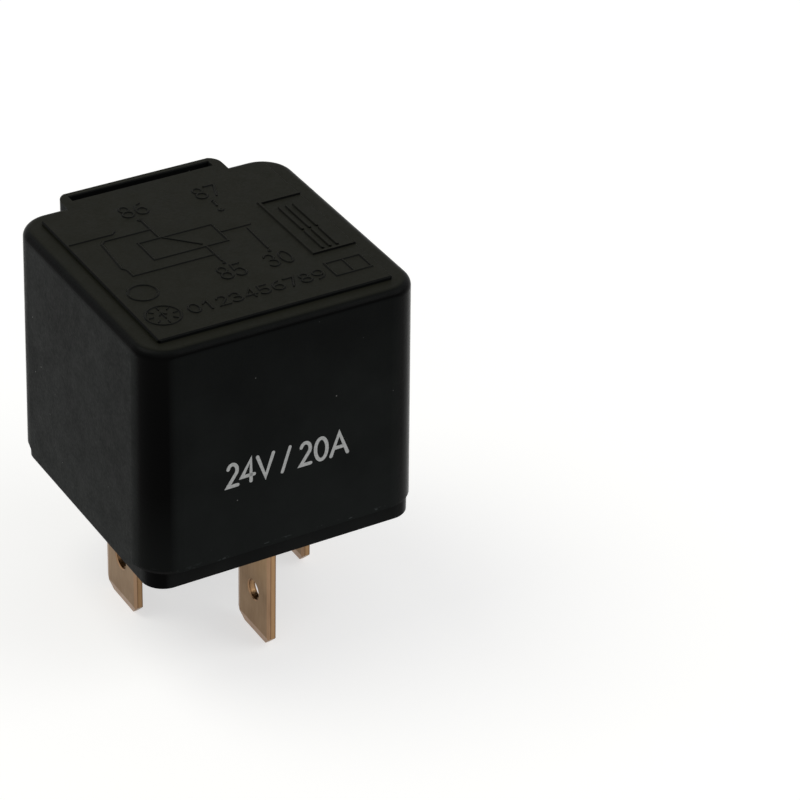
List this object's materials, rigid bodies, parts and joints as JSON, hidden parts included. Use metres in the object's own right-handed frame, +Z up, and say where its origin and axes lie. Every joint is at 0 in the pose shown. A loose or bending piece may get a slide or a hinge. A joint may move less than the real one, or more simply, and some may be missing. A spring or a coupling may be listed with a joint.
{
  "type": "plug-in automotive relay",
  "caption": "Cube-shaped plug-in vehicle relay with flat blade terminals, moulded black cover and a bracket pocket on its back; magnet, armature and contacts inside.",
  "frame": {"origin": "centre of the seat face, the flat underside of the base", "axes": "+Z up through the cover, blades point along -Z; -Y is the printed front with the common blade, +Y is the back with the bracket pocket; +X to the right of someone facing the front"},
  "size_m": [0.0284, 0.0301, 0.0371],
  "materials": {
    "cover_plastic": "fine moulded grain",
    "base_plastic": "fine moulded grain",
    "terminal_copper": "coined, lightly tarnished",
    "zinc_steel": "zinc plated",
    "bobbin_plastic": "smooth",
    "copper_wire": "enamelled",
    "tape": "smooth",
    "resistor_ceramic": "lacquered",
    "tinned_wire": "tinned",
    "spring_bronze": "rolled",
    "rivet_metal": "satin",
    "contact_silver": "satin"
  },
  "bodies": {
    "housing": {"cap": "cover_plastic", "base": "base_plastic", "terminal_30": "terminal_copper", "terminal_85": "terminal_copper", "terminal_86": "terminal_copper", "terminal_87": "terminal_copper", "yoke": "zinc_steel", "core": "zinc_steel", "bobbin": "bobbin_plastic", "coil_winding": "copper_wire", "coil_tape": "tape", "resistor_body": "resistor_ceramic", "resistor_leads": "tinned_wire", "yoke_rivets": "rivet_metal", "fixed_contact": "contact_silver", "back_stop": "zinc_steel"},
    "armature_unit": {"armature": "zinc_steel", "armature_rivets": "rivet_metal", "moving_contact": "contact_silver", "contact_spring": "spring_bronze"}
  },
  "joints": [
    {"name": "armature_hinge", "type": "hinge", "parent": "housing", "child": "armature_unit", "pos_m": [0, -0.0102, 0.01889], "axis": [1, 0, 0], "range_deg": [-2.8, 0], "stiffness_Nm_per_rad": 0.12, "springref_deg": 5.73, "deforming": ["contact_spring"]}
  ]
}
